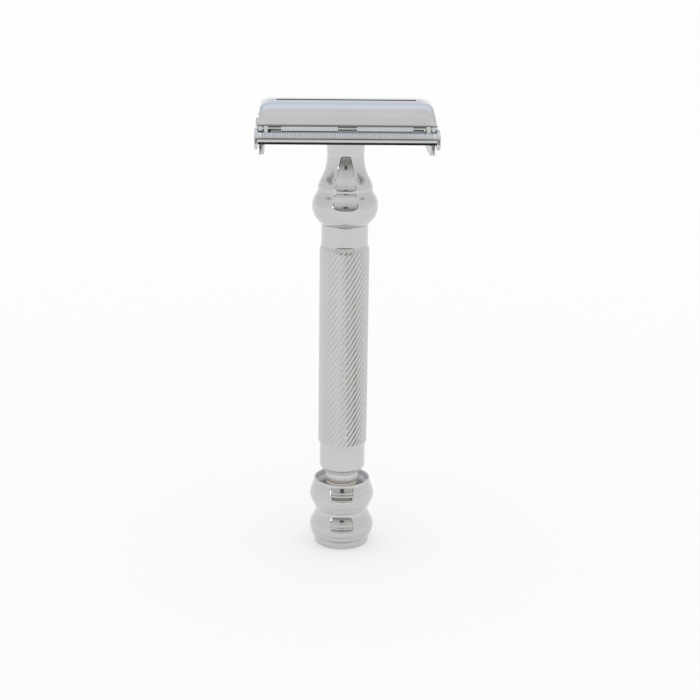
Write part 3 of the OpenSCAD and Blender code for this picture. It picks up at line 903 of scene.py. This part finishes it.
def mirror_only(name, points, faces, paint):
    """A card or dome that only mirrors see. paint(tree, where, light) makes its light."""
    mesh = bpy.data.meshes.new(name)
    mesh.from_pydata([Vector(p) * MM for p in points], [], faces)
    made = bpy.data.objects.new(name, mesh)
    bpy.context.scene.collection.objects.link(made)
    material = bpy.data.materials.new(name)
    material.use_nodes = True
    tree = material.node_tree
    light = emitter(tree)
    where = add(tree, "ShaderNodeTexCoord").outputs["Object"]
    paint(tree, where, light)
    mesh.materials.append(material)
    made.visible_camera = False
    made.visible_diffuse = False
    made.visible_shadow = False
    return made


def even(colour, strength=1.0):
    def paint(tree, where, light):
        light.inputs["Color"].default_value = (*colour, 1)
        light.inputs["Strength"].default_value = strength
    return paint


def by_height(stops, low, high):
    """Light that follows the height, through stops given from low to high, in millimetres."""
    def paint(tree, where, light):
        height = add(tree, "ShaderNodeSeparateXYZ", {0: where}).outputs["Z"]
        share = spread(tree, height, 0, 1, low * MM, high * MM)
        places = [((z - low) / (high - low), colour) for z, colour in stops]
        tree.links.new(ramp(tree, share, places), light.inputs["Color"])
    return paint


def window(name, half, z0, z1, corner, y, paint):
    """An upright card with rounded lower corners."""
    lower = arc((half - corner, z0 + corner), corner, 270, 360, 10)
    outline = [(x, y, z) for x, z in lower] + [(half, y, z1), (-half, y, z1)]
    outline += [(-x, y, z) for x, z in reversed(lower)]
    return mirror_only(name, outline, [list(range(len(outline)))], paint)


TENT_R = 1000
# The light of its sides, from the floor up
TENT_SIDE = ((0, (0.92, 0.92, 0.91)), (0.4, (0.86, 0.865, 0.865)), (1, (0.83, 0.835, 0.84)))
# The tent's light by elevation, in degrees, from the back over the top to the front
TENT = (
    (0, (1.0, 1.0, 1.0)), (8.0, (1.03, 1.03, 1.03)), (9.4, (0.78, 0.80, 0.91)), (12, (0.78, 0.80, 0.91)),
    (42, (0.86, 0.93, 1.05)), (58, (1.0, 1.08, 1.18)), (77, (1.04, 1.08, 1.15)), (88, (0.89, 0.90, 0.93)),
    (110, (0.92, 0.93, 0.94)), (132, (0.93, 0.935, 0.935)), (150, (0.90, 0.905, 0.90)),
    (180, (0.92, 0.92, 0.91)),
)


def paint_tent(tree, where, light):
    parts = add(tree, "ShaderNodeSeparateXYZ", {0: where})
    above = {0: parts.outputs["Z"], 1: CREST_Z * MM}
    up = add(tree, "ShaderNodeMath", above, operation="SUBTRACT").outputs[0]
    angle = add(tree, "ShaderNodeMath", {0: up, 1: parts.outputs["Y"]}, operation="ARCTAN2").outputs[0]
    share = add(tree, "ShaderNodeMath", {0: angle, 1: math.pi}, operation="DIVIDE").outputs[0]
    over = ramp(tree, share, [(degrees / 180, colour) for degrees, colour in TENT])
    aside = add(tree, "ShaderNodeMath", {0: parts.outputs["X"]}, operation="ABSOLUTE").outputs[0]
    sideways = spread(tree, aside, 0, 1, 0.35 * TENT_R * MM, 0.75 * TENT_R * MM)
    rise = spread(tree, up, 0, 1, -0.05 * TENT_R * MM, 0.5 * TENT_R * MM)
    side = ramp(tree, rise, TENT_SIDE)
    tree.links.new(colour_mix(tree, sideways, over, side), light.inputs["Color"])


def tent():
    """The dome of the light tent, as the polished metal mirrors it."""
    points = []
    faces = []
    rows, columns = 16, 32
    for i in range(rows + 1):
        rise = math.pi / 2 * i / rows
        for j in range(columns):
            turn = 2 * math.pi * j / columns
            flat = TENT_R * math.cos(rise)
            points.append((flat * math.cos(turn), flat * math.sin(turn), TENT_R * math.sin(rise)))
    for i in range(rows):
        for j in range(columns):
            k = (j + 1) % columns
            faces.append([i * columns + j, i * columns + k, (i + 1) * columns + k, (i + 1) * columns + j])
    mirror_only("tent", points, faces, paint_tent)


# The tent's open front, and the light of the grey room beyond it by height
FRONT_Y = -560
FRONT_Z0 = 34
FRONT_Z1 = 800
ROOM = (
    (FRONT_Z0, (0.54, 0.54, 0.51)), (62, (0.42, 0.43, 0.40)), (90, (0.30, 0.31, 0.28)),
    (125, (0.31, 0.32, 0.29)), (190, (0.52, 0.53, 0.50)), (330, (0.74, 0.75, 0.72)),
    (600, (0.88, 0.89, 0.88)), (FRONT_Z1, (0.92, 0.93, 0.92)),
)


def studio():
    """The tent, the room beyond its open front, the opening's dark edge, the camera and a lamp."""
    tent()
    window("room", 540, FRONT_Z0, FRONT_Z1, 380, FRONT_Y, by_height(ROOM, FRONT_Z0, FRONT_Z1))
    window("room_edge", 580, 10, FRONT_Z1, 410, FRONT_Y - 2, even((0.05, 0.05, 0.045)))
    window("camera_body", 58, 138, 212, 20, -412, even((0.12, 0.12, 0.12)))
    window("lamp", 22, 195, 255, 8, -550, even((1, 1, 1), 6.0)).location.x = -540 * MM


WHITE = (0.985, 0.985, 0.98, 1)


def world():
    """An even white tent."""
    made = bpy.data.worlds.new("tent")
    bpy.context.scene.world = made
    made.use_nodes = True
    shader = made.node_tree.nodes["Background"]
    shader.inputs["Color"].default_value = WHITE
    shader.inputs["Strength"].default_value = 1.0


def floor():
    """A pale floor with painted glow, which thins the shadow under the razor and, further out, turns the
    floor into the white of the tent.
    """
    half = 6000
    mesh = bpy.data.meshes.new("floor")
    corners = [(-half, -half), (half, -half), (half, half), (-half, half)]
    mesh.from_pydata([Vector((x, y, 0)) * MM for x, y in corners], [], [(0, 1, 2, 3)])
    made = bpy.data.objects.new("floor", mesh)
    bpy.context.scene.collection.objects.link(made)
    material = bpy.data.materials.new("paper")
    material.use_nodes = True
    tree = material.node_tree
    shader = tree.nodes["Principled BSDF"]
    out = tree.nodes["Material Output"]
    where = add(tree, "ShaderNodeTexCoord").outputs["Object"]
    grain = noise(tree, where, (400, 400, 400)).outputs["Fac"]
    tree.links.new(
        colour_mix(tree, grain, (0.97, 0.97, 0.96), (0.98, 0.98, 0.97)), shader.inputs["Base Color"])
    shader.inputs["Roughness"].default_value = 0.9
    shader.inputs["Specular IOR Level"].default_value = 0.1
    away = add(tree, "ShaderNodeVectorMath", {0: where}, operation="LENGTH").outputs["Value"]
    # Painted glow: four tenths of the floor's light near the middle, where it thins the cast shadow, and
    # all of it from half a metre out
    painted_glow = add(tree, "ShaderNodeEmission", {"Color": WHITE})
    mixed = add(tree, "ShaderNodeMixShader", {0: spread(tree, away, 0.4, 1, 0.05, 0.5)})
    tree.links.new(shader.outputs[0], mixed.inputs[1])
    tree.links.new(painted_glow.outputs[0], mixed.inputs[2])
    tree.links.new(mixed.outputs[0], out.inputs["Surface"])
    mesh.materials.append(material)


CAMERA_AWAY = 403.5
CAMERA_ASIDE = 1.74
CAMERA_UP = 176.6


def camera():
    """The viewpoint: a little to the left of the front, above the head, looking down."""
    turn = math.radians(2.2)
    pitch = math.radians(16.94)
    roll = math.radians(0.755)
    ahead = Vector((math.sin(turn), math.cos(turn), 0))
    across = Vector((math.cos(turn), -math.sin(turn), 0))
    where = ahead * -CAMERA_AWAY + across * CAMERA_ASIDE + Vector((0, 0, CAMERA_UP))
    look = ahead * math.cos(pitch) - Vector((0, 0, math.sin(pitch)))
    up = across.cross(look)
    right = across * math.cos(roll) + up * math.sin(roll)
    top = up * math.cos(roll) - across * math.sin(roll)
    data = bpy.data.cameras.new("camera")
    data.lens = 82.8
    data.sensor_width = 36
    made = bpy.data.objects.new("camera", data)
    made.matrix_world = Matrix.Translation(where * MM) @ Matrix((right, top, -look)).transposed().to_4x4()
    bpy.context.scene.collection.objects.link(made)
    bpy.context.scene.camera = made


camera()
world()
floor()
studio()
barrel()
collar()
bush()
knob()
foot_cap()
rod()
guard()
end_plates()
cheeks()
blade()
doors()
plain_nodes()
bpy.context.scene.view_settings.view_transform = "Standard"
